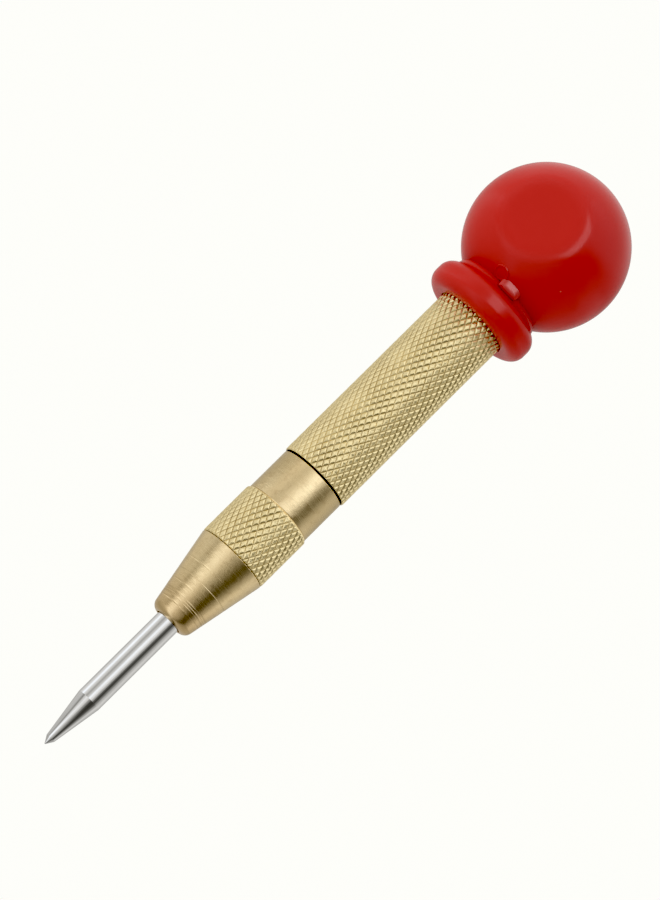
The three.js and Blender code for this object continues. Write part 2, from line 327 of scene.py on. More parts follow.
# The tone of the cards: green and blue as shares of red, what a level of 1 adds to the blue, and what a
# fully cold card adds. Cards turn cold from the level COLD_FROM on, over COLD_RANGE.
WARM_GREEN = 0.985
WARM_BLUE = 0.93
BRIGHT_BLUE = 0.04
COLD_GREEN = 0.05
COLD_BLUE = 0.12
COLD_FROM = 0.95
COLD_RANGE = 0.25

# The floor: half its side, and the distances from the tool between which it fades out
FLOOR_HALF_SIDE = 1.5
FLOOR_FADE_START = 0.25
FLOOR_FADE_END = 1.2

# The main light, and the window that shines on the plastic. Azimuths are counted from the camera, and
# KEY_RISE is how far the main light stands above its base for each metre of KEY_DISTANCE.
KEY_AZIMUTH = -75
KEY_RISE = 0.45
KEY_DISTANCE = 0.6
KEY_BASE_HEIGHT = 100
KEY_AIM_HEIGHT = 80
KEY_SIZE = 0.5
KEY_ENERGY = 1.4
WINDOW_AZIMUTH = 9
WINDOW_ELEVATION = 24
WINDOW_AIM_HEIGHT = 104
WINDOW_WIDTH = 0.34
WINDOW_HEIGHT = 0.5
WINDOW_DISTANCE = 0.6
WINDOW_ENERGY = 1.4

# How far the picture's blacks are set deeper
BLACK_LEVEL = 0.06


# ---------------------------------------------------------------------------
# Outlines
# ---------------------------------------------------------------------------


def arc(centre, radius, start, end, steps):
    """Points of an arc about centre, from the angle start to the angle end in degrees."""
    points = []
    for i in range(steps + 1):
        angle = math.radians(start + (end - start) * i / steps)
        points.append((centre[0] + radius * math.cos(angle), centre[1] + radius * math.sin(angle)))
    return points


def rounded(outline, steps=4):
    """The outline with each corner that gives a third number, its rounding radius, made round."""
    points = []
    for i, corner in enumerate(outline):
        if len(corner) == 2:
            points.append(corner)
            continue
        here = Vector(corner[:2])
        back = Vector(outline[i - 1][:2]) - here
        on = Vector(outline[(i + 1) % len(outline)][:2]) - here
        turn = back.angle(on)
        cut = min(corner[2] / math.tan(turn / 2), 0.49 * back.length, 0.49 * on.length)
        start = here + back.normalized() * cut
        end = here + on.normalized() * cut
        for step in range(steps + 1):
            t = step / steps
            points.append(tuple(start * (1 - t) ** 2 + here * (2 * t * (1 - t)) + end * t**2))
    return points


def heights(node):
    """Lowest and highest point of a CAD node, in millimetres."""
    low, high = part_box(node)
    return low[2] / MM, high[2] / MM


# ---------------------------------------------------------------------------
# Turned meshes
# ---------------------------------------------------------------------------


class Turning:
    """A turned mesh, made as rows of points round the axis from one end of its outline to the other."""

    def __init__(self, sides):
        self.sides = sides
        self.points = []
        self.faces = []
        self.knurl_heights = []
        self.first = None
        self.last = None

    def row(self, radius, height, shift=0.0, knurl_height=1.0):
        """Adds a row. radius is one number or one for each side, and shift turns it by part of a side."""
        start = len(self.points)
        if np.isscalar(radius) and radius < TINY:
            self.points.append((0.0, 0.0, height * MM))
            self.knurl_heights.append(1.0)
            row = ("pole", start, shift)
        else:
            angle = (np.arange(self.sides) + shift) * (2 * math.pi / self.sides)
            r = np.broadcast_to(radius, (self.sides,)) * MM
            z = np.broadcast_to(height, (self.sides,)) * MM
            self.points += list(zip((r * np.cos(angle)).tolist(), (r * np.sin(angle)).tolist(), z.tolist()))
            self.knurl_heights += np.broadcast_to(knurl_height, (self.sides,)).tolist()
            row = ("ring", start, shift)
        if self.last is None:
            self.first = row
        else:
            self._join(self.last, row)
        self.last = row

    def outline(self, points, knurl_height=1.0):
        for radius, height in points:
            self.row(float(radius), height, knurl_height=knurl_height)

    def island(self, points, faces):
        """Adds a closed mesh of its own that sits in the turned one."""
        start = len(self.points)
        self.points += points
        self.knurl_heights += [1.0] * len(points)
        self.faces += [tuple(corner + start for corner in face) for face in faces]

    def close(self):
        """Joins the last row to the first, for a piece with a hole right through."""
        self._join(self.last, self.first)

    def _join(self, below, above):
        n = self.sides
        (kind_a, a, shift_a), (kind_b, b, shift_b) = below, above
        for i in range(n):
            j = (i + 1) % n
            if kind_a == "pole":
                self.faces.append((a, b + j, b + i))
            elif kind_b == "pole":
                self.faces.append((a + i, a + j, b))
            elif shift_a == shift_b:
                self.faces.append((a + i, a + j, b + j, b + i))
            elif shift_b > shift_a:
                self.faces.append((a + i, a + j, b + i))
                self.faces.append((b + i, a + j, b + j))
            else:
                self.faces.append((a + i, b + j, b + i))
                self.faces.append((a + i, a + j, b + j))

    def mesh(self, name, sharp_angle=SHARP_ANGLE):
        mesh = bpy.data.meshes.new(name)
        mesh.from_pydata(self.points, [], self.faces)
        mesh.update()
        knurl_height = mesh.attributes.new("knurl_height", "FLOAT", "POINT")
        knurl_height.data.foreach_set("value", self.knurl_heights)
        mesh.shade_smooth()
        mesh.set_sharp_from_angle(angle=math.radians(sharp_angle))
        return mesh


def add_piece(name, mesh, body, node, material):
    """Puts a mesh in the scene as the piece that stands for a CAD node."""
    piece = bpy.data.objects.new(name, mesh)
    bpy.context.scene.collection.objects.link(piece)
    mesh.materials.append(material)
    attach(piece, body)
    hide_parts(node)
    return piece


def turned_piece(name, outline, sides, body, node, material):
    turning = Turning(sides)
    turning.outline(outline)
    add_piece(name, turning.mesh(name), body, node, material)


def saw(value):
    """0 at whole numbers and 1 half way between them."""
    return 1 - np.abs(2 * (value - np.floor(value)) - 1)


def knurl(turning, radius, start, length, seed, bevels):
    """Adds knurled rows: their points lie on the lines of both sets of grooves, so every ridge is an edge.

    bevels says how far below the teeth's tops the two ends are cut. Returns the height of the last row.
    """
    sides = KNURL_STARTS * KNURL_STEPS
    round_pitch = 2 * math.pi * radius / KNURL_STARTS
    pitch = round_pitch / math.tan(math.radians(KNURL_ANGLE))
    rows = int(length / pitch * KNURL_STEPS) * 2
    step = pitch / (2 * KNURL_STEPS)
    teeth = (KNURL_STARTS * 2, rows // KNURL_STEPS + 2)
    wear = np.random.default_rng(seed).uniform(1 - KNURL_WEAR, 1.0, teeth)
    for row in range(rows + 1):
        shift = (row % 2) / 2
        along = row / (2 * KNURL_STEPS)
        around = (np.arange(sides) + shift) / KNURL_STEPS
        pointed = np.minimum(saw(around - along), saw(around + along))
        tooth = np.minimum(pointed, KNURL_CREST) / KNURL_CREST
        own = wear[(around * 2).astype(int) % (KNURL_STARTS * 2), int(along * 2)]
        bevel = min(row * step - bevels[0], (rows - row) * step - bevels[1], 0)
        surface = np.minimum(radius - KNURL_DEPTH * (1 - tooth * own), radius + bevel)
        turning.row(surface, start + row * step, shift, tooth)
    return start + rows * step


def ringed(start, end, rings, width):
    """The straight line from start to end with a shallow mark at each ring, given as (height, depth)."""
    slope = (end[0] - start[0]) / (end[1] - start[1])
    points = [start]
    for height, depth in rings:
        for offset, share in TOOL_MARK:
            z = height + offset * width
            points.append((start[0] + slope * (z - start[1]) - depth * share, z))
    return [*points, end]


# ---------------------------------------------------------------------------
# Materials
# ---------------------------------------------------------------------------


class Graph:
    """A short way to write a node tree."""

    def __init__(self, tree):
        self.tree = tree
        tree.nodes.clear()

    def node(self, kind, inputs=None, **settings):
        node = self.tree.nodes.new(kind)
        for name, value in settings.items():
            setattr(node, name, value)
        for key, value in (inputs or {}).items():
            if isinstance(value, bpy.types.NodeSocket):
                self.tree.links.new(value, node.inputs[key])
            else:
                node.inputs[key].default_value = value
        return node

    def math(self, operation, a, b=0.0):
        return self.node("ShaderNodeMath", {0: a, 1: b}, operation=operation).outputs[0]

    def remap(self, value, low, high, to_low, to_high):
        inputs = {"Value": value, "From Min": low, "From Max": high, "To Min": to_low, "To Max": to_high}
        return self.node("ShaderNodeMapRange", inputs).outputs[0]

    def ramp(self, value, stops, interpolation):
        node = self.node("ShaderNodeValToRGB", {0: value})
        elements = node.color_ramp.elements
        node.color_ramp.interpolation = interpolation
        elements[0].position, elements[0].color = stops[0][0], (*stops[0][1], 1)
        elements[1].position, elements[1].color = stops[-1][0], (*stops[-1][1], 1)
        for position, colour in stops[1:-1]:
            elements.new(position).color = (*colour, 1)
        return node.outputs[0]

    def smooth(self, value, low, high):
        """0 below low and 1 above high, with a soft step between; low may be the larger of the two."""
        inputs = {"Value": value, "From Min": low, "From Max": high, "To Min": 0.0, "To Max": 1.0}
        return self.node("ShaderNodeMapRange", inputs, interpolation_type="SMOOTHSTEP").outputs[0]

    def mix(self, share, a, b):
        node = self.node("ShaderNodeMix", data_type="RGBA", clamp_factor=False)
        for key, value in ((0, share), (6, a), (7, b)):
            if isinstance(value, bpy.types.NodeSocket):
                self.tree.links.new(value, node.inputs[key])
            else:
                node.inputs[key].default_value = value
        return node.outputs[2]

    def noise(self, vector, scale, detail, roughness=0.5):
        inputs = {"Vector": vector, "Scale": scale, "Detail": detail, "Roughness": roughness}
        return self.node("ShaderNodeTexNoise", inputs).outputs[0]

    def stretched(self, vector, across, along):
        """A vector on which a noise turns into fine rings round the axis."""
        inputs = {0: vector, 1: (across, across, along)}
        return self.node("ShaderNodeVectorMath", inputs, operation="MULTIPLY").outputs[0]

    def bump(self, height, strength, distance, normal=None):
        """A bump in metres, on top of another one when normal is given."""
        inputs = {"Strength": strength, "Distance": distance, "Height": height}
        if normal is not None:
            inputs["Normal"] = normal
        return self.node("ShaderNodeBump", inputs).outputs[0]

    def tangent(self):
        """The direction round the axis, along which a turned surface is smoothest."""
        return self.node("ShaderNodeTangent", direction_type="RADIAL", axis="Z").outputs[0]


def new_material(name):
    material = bpy.data.materials.new(name)
    material.use_nodes = True
    graph = Graph(material.node_tree)
    position = graph.node("ShaderNodeTexCoord").outputs["Object"]
    return material, graph, position


def finish_material(graph, settings, normal=None):
    shader = graph.node("ShaderNodeBsdfPrincipled", settings)
    if normal is not None:
        graph.tree.links.new(normal, shader.inputs["Normal"])
    output = graph.node("ShaderNodeOutputMaterial")
    graph.tree.links.new(shader.outputs[0], output.inputs[0])


def turned_brass():
    """Brass straight off the lathe: fine rings round the axis, a satin sheen along it."""
    material, graph, position = new_material("turned_brass")
    rings = graph.noise(graph.stretched(position, 40, 6000), 1.0, 3.0, 0.6)
    cloud = graph.noise(position, 300.0, 3.0)
    stain = graph.noise(position, 900.0, 4.0, 0.6)
    colour = graph.mix(cloud, BRASS, BRASS_CLOUD)
    height = graph.node("ShaderNodeSeparateXYZ", {0: position}).outputs[2]
    # The colour turns browner and darker towards the nose's lip
    near_lip = graph.smooth(height, LIP_DARKENING_TOP * MM, LIP_DARKENING_BOTTOM * MM)
    colour = graph.mix(graph.math("MULTIPLY", near_lip, 0.75), colour, BRASS_LIP)
    spots = graph.math("MULTIPLY", graph.smooth(stain, 0.5, 0.68), 0.5)
    colour = graph.mix(spots, colour, BRASS_STAIN)
    roughness = graph.remap(rings, 0.3, 0.7, 0.16, 0.3)
    uneven = graph.bump(stain, 0.5, 0.00005)
    turned = graph.bump(rings, 0.25, 0.00002, uneven)
    settings = {
        "Base Color": colour,
        "Metallic": 1.0,
        "Roughness": roughness,
        "Anisotropic": 0.5,
        "Tangent": graph.tangent(),
    }
    finish_material(graph, settings, turned)
    return material


def knurled_brass():
    """The same brass where it is knurled: bright ridges, a little dirt at the foot of the teeth, and
    near-black painted shade in the grooves beside the knurling.
    """
    material, graph, position = new_material("knurled_brass")
    height = graph.node("ShaderNodeAttribute", attribute_name="knurl_height").outputs["Fac"]
    cloud = graph.noise(position, 500.0, 4.0)
    clean = graph.mix(cloud, KNURL_BRASS, KNURL_BRASS_CLOUD)
    patches = graph.remap(graph.noise(position, 200.0, 2.0), 0.35, 0.65, 0.45, 1.0)
    dirt = graph.math("MULTIPLY", graph.remap(height, 0.0, 0.5, 0.9, 0.0), patches)
    # Painted shade: where knurl_height falls below 0, the colour turns near-black
    painted_shade = graph.remap(height, SHADED_GROOVE_HEIGHT, 0.0, 1.0, 0.0)
    colour = graph.mix(dirt, clean, KNURL_DIRT)
    colour = graph.mix(painted_shade, colour, GROOVE_PAINTED_SHADE)
    roughness = graph.remap(height, 0.0, 1.0, 0.42, 0.37)
    fine = graph.bump(graph.noise(position, 9000.0, 2.0), 0.3, 0.00003)
    uneven = graph.bump(graph.noise(position, 1300.0, 2.0), 0.6, 0.0002, fine)
    finish_material(graph, {"Base Color": colour, "Metallic": 1.0, "Roughness": roughness}, uneven)
    return material


def steel(name, colour, roughness, ring_strength):
    """Turned or ground steel: faint rings round the axis and a slow change of tone."""
    material, graph, position = new_material(name)
    rings = graph.noise(graph.stretched(position, 60, 9000), 1.0, 2.0, 0.6)
    cloud = graph.noise(position, 400.0, 3.0)
    darker = tuple(c * STEEL_CLOUD_SHARE for c in colour)
    settings = {
        "Base Color": graph.mix(cloud, (*colour, 1), (*darker, 1)),
        "Metallic": 1.0,
        "Roughness": graph.remap(rings, 0.3, 0.7, roughness * 0.8, roughness * 1.3),
        "Anisotropic": 0.3,
        "Tangent": graph.tangent(),
    }
    finish_material(graph, settings, graph.bump(rings, ring_strength, 0.00001))
    return material


def red_plastic(name, roughness, ior):
    """Moulded plastic: a deep red with a satin skin, faint flow marks and a few pale specks."""
    material, graph, position = new_material(name)
    flow = graph.noise(position, 90.0, 3.0)
    colour = graph.mix(flow, RED, RED_FLOW)
    cells = graph.node("ShaderNodeTexVoronoi", {"Vector": position, "Scale": 420.0}).outputs
    chance = graph.node("ShaderNodeSeparateColor", {0: cells["Color"]}).outputs[0]
    rare = graph.math("GREATER_THAN", chance, 0.96)
    speck = graph.math("MULTIPLY", graph.smooth(cells["Distance"], 0.12, 0.05), rare)
    colour = graph.mix(graph.math("MULTIPLY", speck, 0.4), colour, RED_SPECK)
    finish_material(graph, {"Base Color": colour, "Roughness": roughness, "IOR": ior})
    return material


# ---------------------------------------------------------------------------
# Pieces
# ---------------------------------------------------------------------------


def make_point(material):
    front, back = heights("punch_point")
    collar_back = COLLAR_FRONT + COLLAR_LENGTH
    outline = [
        (0.0, front),
        *arc((0.0, front + TIP_ROUNDING), TIP_ROUNDING, -70, -TIP_HALF_ANGLE, 3),
        (TIP_RADIUS, TIP_LENGTH, 0.1),
        (ROD_RADIUS, TAPER_END, 0.12),
        (ROD_RADIUS, COLLAR_FRONT),
        (COLLAR_RADIUS, COLLAR_FRONT, 0.2),
        (COLLAR_RADIUS, collar_back, 0.2),
        (SOCKET_OUTER_RADIUS, collar_back),
        (SOCKET_OUTER_RADIUS, back, 0.25),
        (SOCKET_RADIUS, back, 0.15),
        (SOCKET_RADIUS, back - SOCKET_DEPTH),
        (0.0, back - SOCKET_DEPTH),
    ]
    turned_piece("point", rounded(outline), 96, "punch", "punch_point", material)


def make_nose(plain, knurled):
    front, back = heights("nose_piece")
    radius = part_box("nose_piece")[1][0] / MM
    lip = arc((NOSE_LIP_RADIUS, front + NOSE_ROUNDING), NOSE_ROUNDING, -90, -NOSE_CONE_HALF_ANGLE, 12)
    cone_end = front + NOSE_CONE_LENGTH
    rings = [(front + distance, depth) for distance, depth in CONE_RINGS]
    bevel_start = (NOSE_CONE_END_RADIUS, cone_end - NOSE_CONE_END_BEVEL)
    cone = ringed(lip[-1], bevel_start, rings, CONE_RING_WIDTH)
    edge = [(NOSE_CONE_END_RADIUS - depth, cone_end + past) for depth, past in NOSE_GROOVE_EDGE]
    floor = [(NOSE_CONE_END_RADIUS - depth, cone_end + past) for depth, past in NOSE_GROOVE_FLOOR]
    turning = Turning(KNURL_STARTS * KNURL_STEPS)
    turning.outline([(GUIDE_RADIUS, front + GUIDE_MOUTH_EDGE), *lip, *cone[1:], *edge])
    # The groove's floor is marked for near-black painted shade
    turning.outline(floor, SHADED_GROOVE_HEIGHT)
    start = cone_end + NOSE_KNURL_START
    knurl_end = knurl(turning, radius, start, NOSE_KNURL_LENGTH, NOSE_KNURL_SEED, NOSE_KNURL_BEVELS)
    plain_start = knurl_end + NOSE_PLAIN_BEVEL_DEPTH
    plain_end = cone_end + NOSE_BAND_LENGTH + NOSE_PLAIN_LENGTH
    turning.outline(
        rounded(
            [
                (NOSE_PLAIN_RADIUS - NOSE_PLAIN_BEVEL_DEPTH, plain_start),
                (NOSE_PLAIN_RADIUS, plain_start + NOSE_PLAIN_BEVEL_LENGTH),
                (NOSE_PLAIN_RADIUS, plain_end, 0.2),
                (SPIGOT_RADIUS, plain_end),
                (SPIGOT_RADIUS, back, 0.3),
                (CHAMBER_RADIUS, back, 0.2),
                (CHAMBER_RADIUS, front + NOSE_SHOULDER),
                (GUIDE_RADIUS, front + NOSE_SHOULDER, 0.1),
                (GUIDE_RADIUS, front + GUIDE_MOUTH_LENGTH),
            ]
        )
    )
    turning.close()
    piece = add_piece("nose", turning.mesh("nose", KNURL_SHARP_ANGLE), "body", "nose_piece", plain)
    piece.data.materials.append(knurled)
    for face in piece.data.polygons:
        if edge[-1][1] < face.center.z / MM < knurl_end:
            face.material_index = 1


def make_barrel(knurled):
    front, back = heights("barrel")
    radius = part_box("barrel")[1][0] / MM
    turning = Turning(KNURL_STARTS * KNURL_STEPS)
    face_edge = radius - KNURL_DEPTH - BARREL_EDGE_DEPTH
    # The barrel's front face, in the seam, is marked for near-black painted shade
    turning.outline([(NOSE_BORE_RADIUS, front), (face_edge, front)], SHADED_GROOVE_HEIGHT)
    start = front + BARREL_EDGE_LENGTH
    knurl_end = knurl(turning, radius, start, BARREL_KNURL_LENGTH, BARREL_KNURL_SEED, BARREL_KNURL_BEVELS)
    ring_front = front + NOSE_BORE_LENGTH
    turning.outline(
        rounded(
            [
                (radius - BARREL_END_INSET, knurl_end + BARREL_END_STEP),
                (radius - BARREL_END_INSET, back, 0.3),
                (CAP_THREAD_RADIUS, back, 0.2),
                (CAP_THREAD_RADIUS, back - CAP_THREAD_LENGTH),
                (HAMMER_BORE_RADIUS, back - CAP_THREAD_LENGTH, 0.1),
                (HAMMER_BORE_RADIUS, ring_front + RING_LENGTH),
                (RING_RADIUS, ring_front + RING_LENGTH, 0.2),
                (RING_RADIUS, ring_front, 0.2),
                (NOSE_BORE_RADIUS, ring_front),
                (NOSE_BORE_RADIUS, front + BARREL_MOUTH_EDGE),
            ]
        )
    )
    turning.close()
    add_piece("barrel_shell", turning.mesh("barrel_shell", KNURL_SHARP_ANGLE), "body", "barrel", knurled)


def flattened(points, centre_height):
    """Points of the ball with its two side flats: a soft smaller-of-two between the ball and each flat."""
    centre = np.array([0, 0, centre_height])
    local = points - centre
    distance = np.linalg.norm(local, axis=1)
    facing = np.abs(local[:, 1]) / np.maximum(distance, TINY)
    flat = (BALL_RADIUS - BALL_FLAT_DEPTH) / np.maximum(facing, BALL_FACING_LEAST)
    gap = np.maximum(BALL_FLAT_SOFTNESS - np.abs(flat - BALL_RADIUS), 0) / BALL_FLAT_SOFTNESS
    target = np.minimum(flat, BALL_RADIUS) - gap**2 * BALL_FLAT_SOFTNESS / 4
    factor = np.where(distance > BALL_RADIUS - BALL_SKIN, target / distance, 1.0)
    return local * factor[:, None] + centre


def neck_outline(flange_front, ball_centre):
    """The outside from the flange's front face over its rim, round the neck's fillet and over the ball."""
    rim = Vector((FLANGE_RADIUS - FLANGE_RIM_RADIUS, flange_front + FLANGE_THICKNESS - FLANGE_RIM_RADIUS))
    ball = Vector((0.0, ball_centre))
    to_rim = FLANGE_RIM_RADIUS + NECK_FILLET
    to_ball = BALL_RADIUS + NECK_FILLET
    between = ball - rim
    along = (to_rim**2 - to_ball**2 + between.length**2) / (2 * between.length)
    aside = math.sqrt(to_rim**2 - along**2)
    unit = between.normalized()
    fillet = rim + unit * along + Vector((unit.y, -unit.x)) * aside
    rim_end = math.degrees(math.atan2(fillet.y - rim.y, fillet.x - rim.x))
    ball_start = math.degrees(math.atan2(fillet.y - ball.y, fillet.x - ball.x))
    return [
        *arc((rim.x, flange_front + FLANGE_RIM_RADIUS), FLANGE_RIM_RADIUS, -90, 0, 14),
        *arc(rim, FLANGE_RIM_RADIUS, 0, rim_end, 10),
        *arc(fillet, NECK_FILLET, 180 + rim_end, 180 + ball_start, 16)[1:],
        *arc(ball, BALL_RADIUS, ball_start, 90, 120)[1:-1],
        (0.0, ball_centre + BALL_RADIUS),
    ]


def gate_mark(ball_centre):
    """The low round rim that the moulding gate leaves on the ball, as points and faces."""
    rim = BALL_GATE_RADIUS - BALL_GATE_RIM / 2
    crest = BALL_RADIUS + BALL_GATE_HEIGHT
    dish = BALL_RADIUS + BALL_GATE_HEIGHT / 4
    outline = [
        (BALL_GATE_RADIUS, BALL_RADIUS - BALL_GATE_SINK),
        (rim + BALL_GATE_RIM / 4, crest - BALL_GATE_SIDE_DROP),
        (rim, crest - BALL_GATE_CREST_DROP),
        (rim - BALL_GATE_RIM / 4, crest - BALL_GATE_SIDE_DROP),
        (rim - BALL_GATE_RIM / 2, dish - BALL_GATE_DISH_DROP),
        (0.0, dish),
    ]
    mark = Turning(48)
    mark.outline(outline)
    tilt = math.radians(90 - BALL_GATE_ELEVATION)
    azimuth = math.radians(BALL_GATE_AZIMUTH - 90)
    turn = Euler((0, tilt, azimuth)).to_matrix()
    centre = Vector((0, 0, ball_centre * MM))
    return [tuple(turn @ Vector(point) + centre) for point in mark.points], mark.faces


def neck_pad():
    """The trimmed flat in the neck's groove: a rounded rectangle with a slightly crowned face."""
    pad = Turning(48)
    for i in range(NECK_PAD_STEPS):
        angle = math.pi / 2 * i / NECK_PAD_STEPS
        size = NECK_PAD_FOOT * math.cos(angle) ** NECK_PAD_CROWN
        pad.row(size, NECK_PAD_DEPTH * (math.sin(angle) - 1))
    pad.row(0.0, 0.0)
    azimuth = math.radians(NECK_PAD_AZIMUTH)
    turn = Euler((math.radians(90 - NECK_PAD_TILT), 0, azimuth)).to_matrix()
    centre = Vector((math.sin(azimuth), -math.cos(azimuth), 0)) * NECK_PAD_RADIUS
    centre.z = NECK_PAD_HEIGHT
    points = []
    for x, y, z in pad.points:
        square = max(abs(x), abs(y), TINY) / max(math.hypot(x, y), TINY)
        grow = 1 / square**NECK_PAD_SQUARENESS
        local = Vector((x / MM * grow * NECK_PAD_WIDTH / 2, y / MM * grow * NECK_PAD_LENGTH / 2, z / MM))
        points.append(tuple((turn @ local + centre) * MM))
    return points, pad.faces


def make_ball(material, cut):
    """The ball with its neck and flange; cut is the material of the trimmed pad."""
    front, top = heights("ball_cap")
    centre = top - BALL_RADIUS
    turning = Turning(240)
    bore_top = front + BALL_BORE_DEPTH
    inside = [(0.0, bore_top), (MOUTH_RADIUS, bore_top, 0.8), (MOUTH_RADIUS, front, 0.15)]
    turning.outline(rounded([*inside, (FLANGE_RADIUS - FLANGE_RIM_RADIUS, front)])[:-1])
    first_outside = len(turning.points)
    turning.outline(neck_outline(front, centre))
    points = np.array(turning.points) / MM
    on_ball = points[:, 2] > front + BALL_START
    on_ball[:first_outside] = False
    points[on_ball] = flattened(points[on_ball], centre)
    turning.points = (points * MM).tolist()
    turning.island(*gate_mark(centre))
    first_cut = len(turning.faces)
    turning.island(*neck_pad())
    piece = add_piece("ball_grip", turning.mesh("ball_grip"), "adjuster", "ball_cap", material)
    piece.data.materials.append(cut)
    for face in piece.data.polygons[first_cut:]:
        face.material_index = 1
    return piece


def make_pin(material):
    front, back = heights("drift_pin")
    collar_front = front + PIN_COLLAR_START
    collar_back = collar_front + PIN_COLLAR_LENGTH
    boss_back = collar_back + PIN_BOSS_LENGTH
    outline = [
        (0.0, front),
        (PIN_RADIUS, front, 0.2),
        (PIN_RADIUS, collar_front),
        (PIN_COLLAR_RADIUS, collar_front, 0.15),
        (PIN_COLLAR_RADIUS, collar_back, 0.15),
        (PIN_BOSS_RADIUS, collar_back),
        (PIN_BOSS_RADIUS, boss_back, 0.3),
        (PIN_TAIL_RADIUS, boss_back + PIN_CONE_LENGTH, 0.3),
        (PIN_TAIL_RADIUS, back, 0.2),
        (0.0, back),
    ]
    turned_piece("pin", rounded(outline), 64, "drift", "drift_pin", material)


def make_hammer(material):
    front, back = heights("hammer")
    body_back = front + HAMMER_LENGTH
    outline = [
        (0.0, front + HAMMER_HOLE_DEPTH),
        (HAMMER_HOLE_RADIUS, front + HAMMER_HOLE_DEPTH, 0.2),
        (HAMMER_HOLE_RADIUS, front + HAMMER_HOLE_MOUTH, 0.1),
        (HAMMER_HOLE_RADIUS + HAMMER_HOLE_MOUTH, front, 0.1),
        (HAMMER_RADIUS, front, 0.35),
        (HAMMER_RADIUS, body_back, 0.35),
        (HAMMER_SPIGOT_RADIUS, body_back),
        (HAMMER_SPIGOT_RADIUS, back, 0.3),
        (0.0, back),
    ]
    turned_piece("hammer_slug", rounded(outline), 96, "striker", "hammer", material)


def make_adjusting_cap(material):
    """The cup with a screw thread on its skirt and splines on its head, where the plastic grips it."""
    front, back = heights("adjusting_cap")
    head_front = back - CAP_HEAD_LENGTH
    floor = back - CAP_FLOOR_THICKNESS
    turning = Turning(2 * CAP_SPLINES)
    mouth = [(CAP_BORE_RADIUS, front, 0.1), (THREAD_RADIUS - THREAD_DEPTH, front)]
    turning.outline(rounded([(0.0, floor), (CAP_BORE_RADIUS, floor, 0.4), *mouth])[:-1])
    side = np.arange(turning.sides)
    step = THREAD_PITCH / THREAD_ROWS
    rows = int((head_front - THREAD_RUN_OUT - front) / step)
    for row in range(rows + 1):
        fade = min(row, rows - row, THREAD_ROWS) / THREAD_ROWS
        cut = THREAD_DEPTH * (1 - fade * saw(row / THREAD_ROWS - side / turning.sides))
        turning.row(THREAD_RADIUS - cut, front + THREAD_START + row * step)
    root = THREAD_RADIUS - THREAD_DEPTH
    turning.outline([(root, head_front), (CAP_HEAD_RADIUS - CAP_SHOULDER_INSET, head_front)])
    splines = CAP_HEAD_RADIUS - CAP_SPLINE_DEPTH * (side % 2)
    turning.row(splines - CAP_FRONT_BEVEL, head_front)
    turning.row(splines, head_front + CAP_FRONT_BEVEL)
    turning.row(splines, back - CAP_BACK_BEVEL_START)
    turning.row(splines - CAP_BACK_BEVEL_INSET, back - CAP_BACK_BEVEL_END)
    turning.outline([(CAP_HEAD_RADIUS - CAP_BACK_FACE_INSET, back), (0.0, back)])
    add_piece("cap_insert", turning.mesh("cap_insert"), "adjuster", "adjusting_cap", material)


def coil_mesh(name, low, high, radii, turns, wire):
    """A round wire wound from low to high, with its first and last turns almost closed."""
    end_turn = wire * END_TURN_PITCH
    bottom = low + wire / 2
    open_pitch = (high - low - wire - 2 * end_turn) / (turns - 2)
    count = turns * COIL_STEPS
    turn = np.arange(count + 1) / COIL_STEPS
    opened = np.clip(turn - 1, 0, turns - 2)
    height = bottom + opened * open_pitch + (turn - opened) * end_turn
    radius = radii[0] + (radii[1] - radii[0]) * turn / turns
    angle = 2 * math.pi * turn
    outward = np.stack([np.cos(angle), np.sin(angle), np.zeros_like(angle)], 1)
    centres = outward * radius[:, None] + np.outer(height, (0, 0, 1))
    ahead = np.gradient(centres, axis=0)
    ahead /= np.linalg.norm(ahead, axis=1)[:, None]
    upward = np.cross(outward, ahead)
    points = []
    for i in range(WIRE_SIDES):
        around = 2 * math.pi * i / WIRE_SIDES
        points.append(centres + (outward * math.cos(around) + upward * math.sin(around)) * wire / 2)
    points = np.stack(points, 1).reshape(-1, 3)
    faces = []
    for ring in range(count):
        for i in range(WIRE_SIDES):
            j = (i + 1) % WIRE_SIDES
            a = ring * WIRE_SIDES
            b = a + WIRE_SIDES
            faces.append((a + j, a + i, b + i, b + j))
    faces.append(tuple(range(WIRE_SIDES)))
    faces.append(tuple(reversed(range(count * WIRE_SIDES, (count + 1) * WIRE_SIDES))))
    mesh = bpy.data.meshes.new(name)
    mesh.from_pydata((points * MM).tolist(), [], faces)
    mesh.update()
    mesh.shade_smooth()
    mesh.set_sharp_from_angle(angle=math.radians(WIRE_SHARP_ANGLE))
    return mesh


def make_main_spring(material):
    low, high = heights("main_spring")
    low += MAIN_SPRING_SET_BACK
    radii = (MAIN_SPRING_RADIUS, MAIN_SPRING_RADIUS)
    mesh = coil_mesh("hammer_spring", low, high, radii, MAIN_SPRING_TURNS, MAIN_SPRING_WIRE)
    spring = add_piece("hammer_spring", mesh, "preload", "main_spring", material)
    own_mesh(spring)


def make_return_spring(material):
    low, high = heights("return_spring")
    radii = (RETURN_SPRING_SMALL_RADIUS, RETURN_SPRING_LARGE_RADIUS)
    mesh = coil_mesh("pin_spring", low, high, radii, RETURN_SPRING_TURNS, RETURN_SPRING_WIRE)
    spring = add_piece("pin_spring", mesh, "body", "return_spring", material)
    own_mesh(spring)


# ---------------------------------------------------------------------------
# Floor, light and camera
# ---------------------------------------------------------------------------


def light_tone(level):
    """The colour of a light card: dim cards are warmer, and the brightest ones are a cold white."""
    cold = min(max(level - COLD_FROM, 0) / COLD_RANGE, 1)
    green = WARM_GREEN + COLD_GREEN * cold
    blue = WARM_BLUE + BRIGHT_BLUE * min(level, 1.0) + COLD_BLUE * cold
    return (level, level * green, level * blue)


def card_ring(graph, turn, cards):
    """Brightness round the tool, from pairs of azimuth (0 towards the camera) and level."""
    stops = [((azimuth + 180) / 360, light_tone(level)) for azimuth, level in cards]
    return graph.ramp(turn, stops, "EASE")


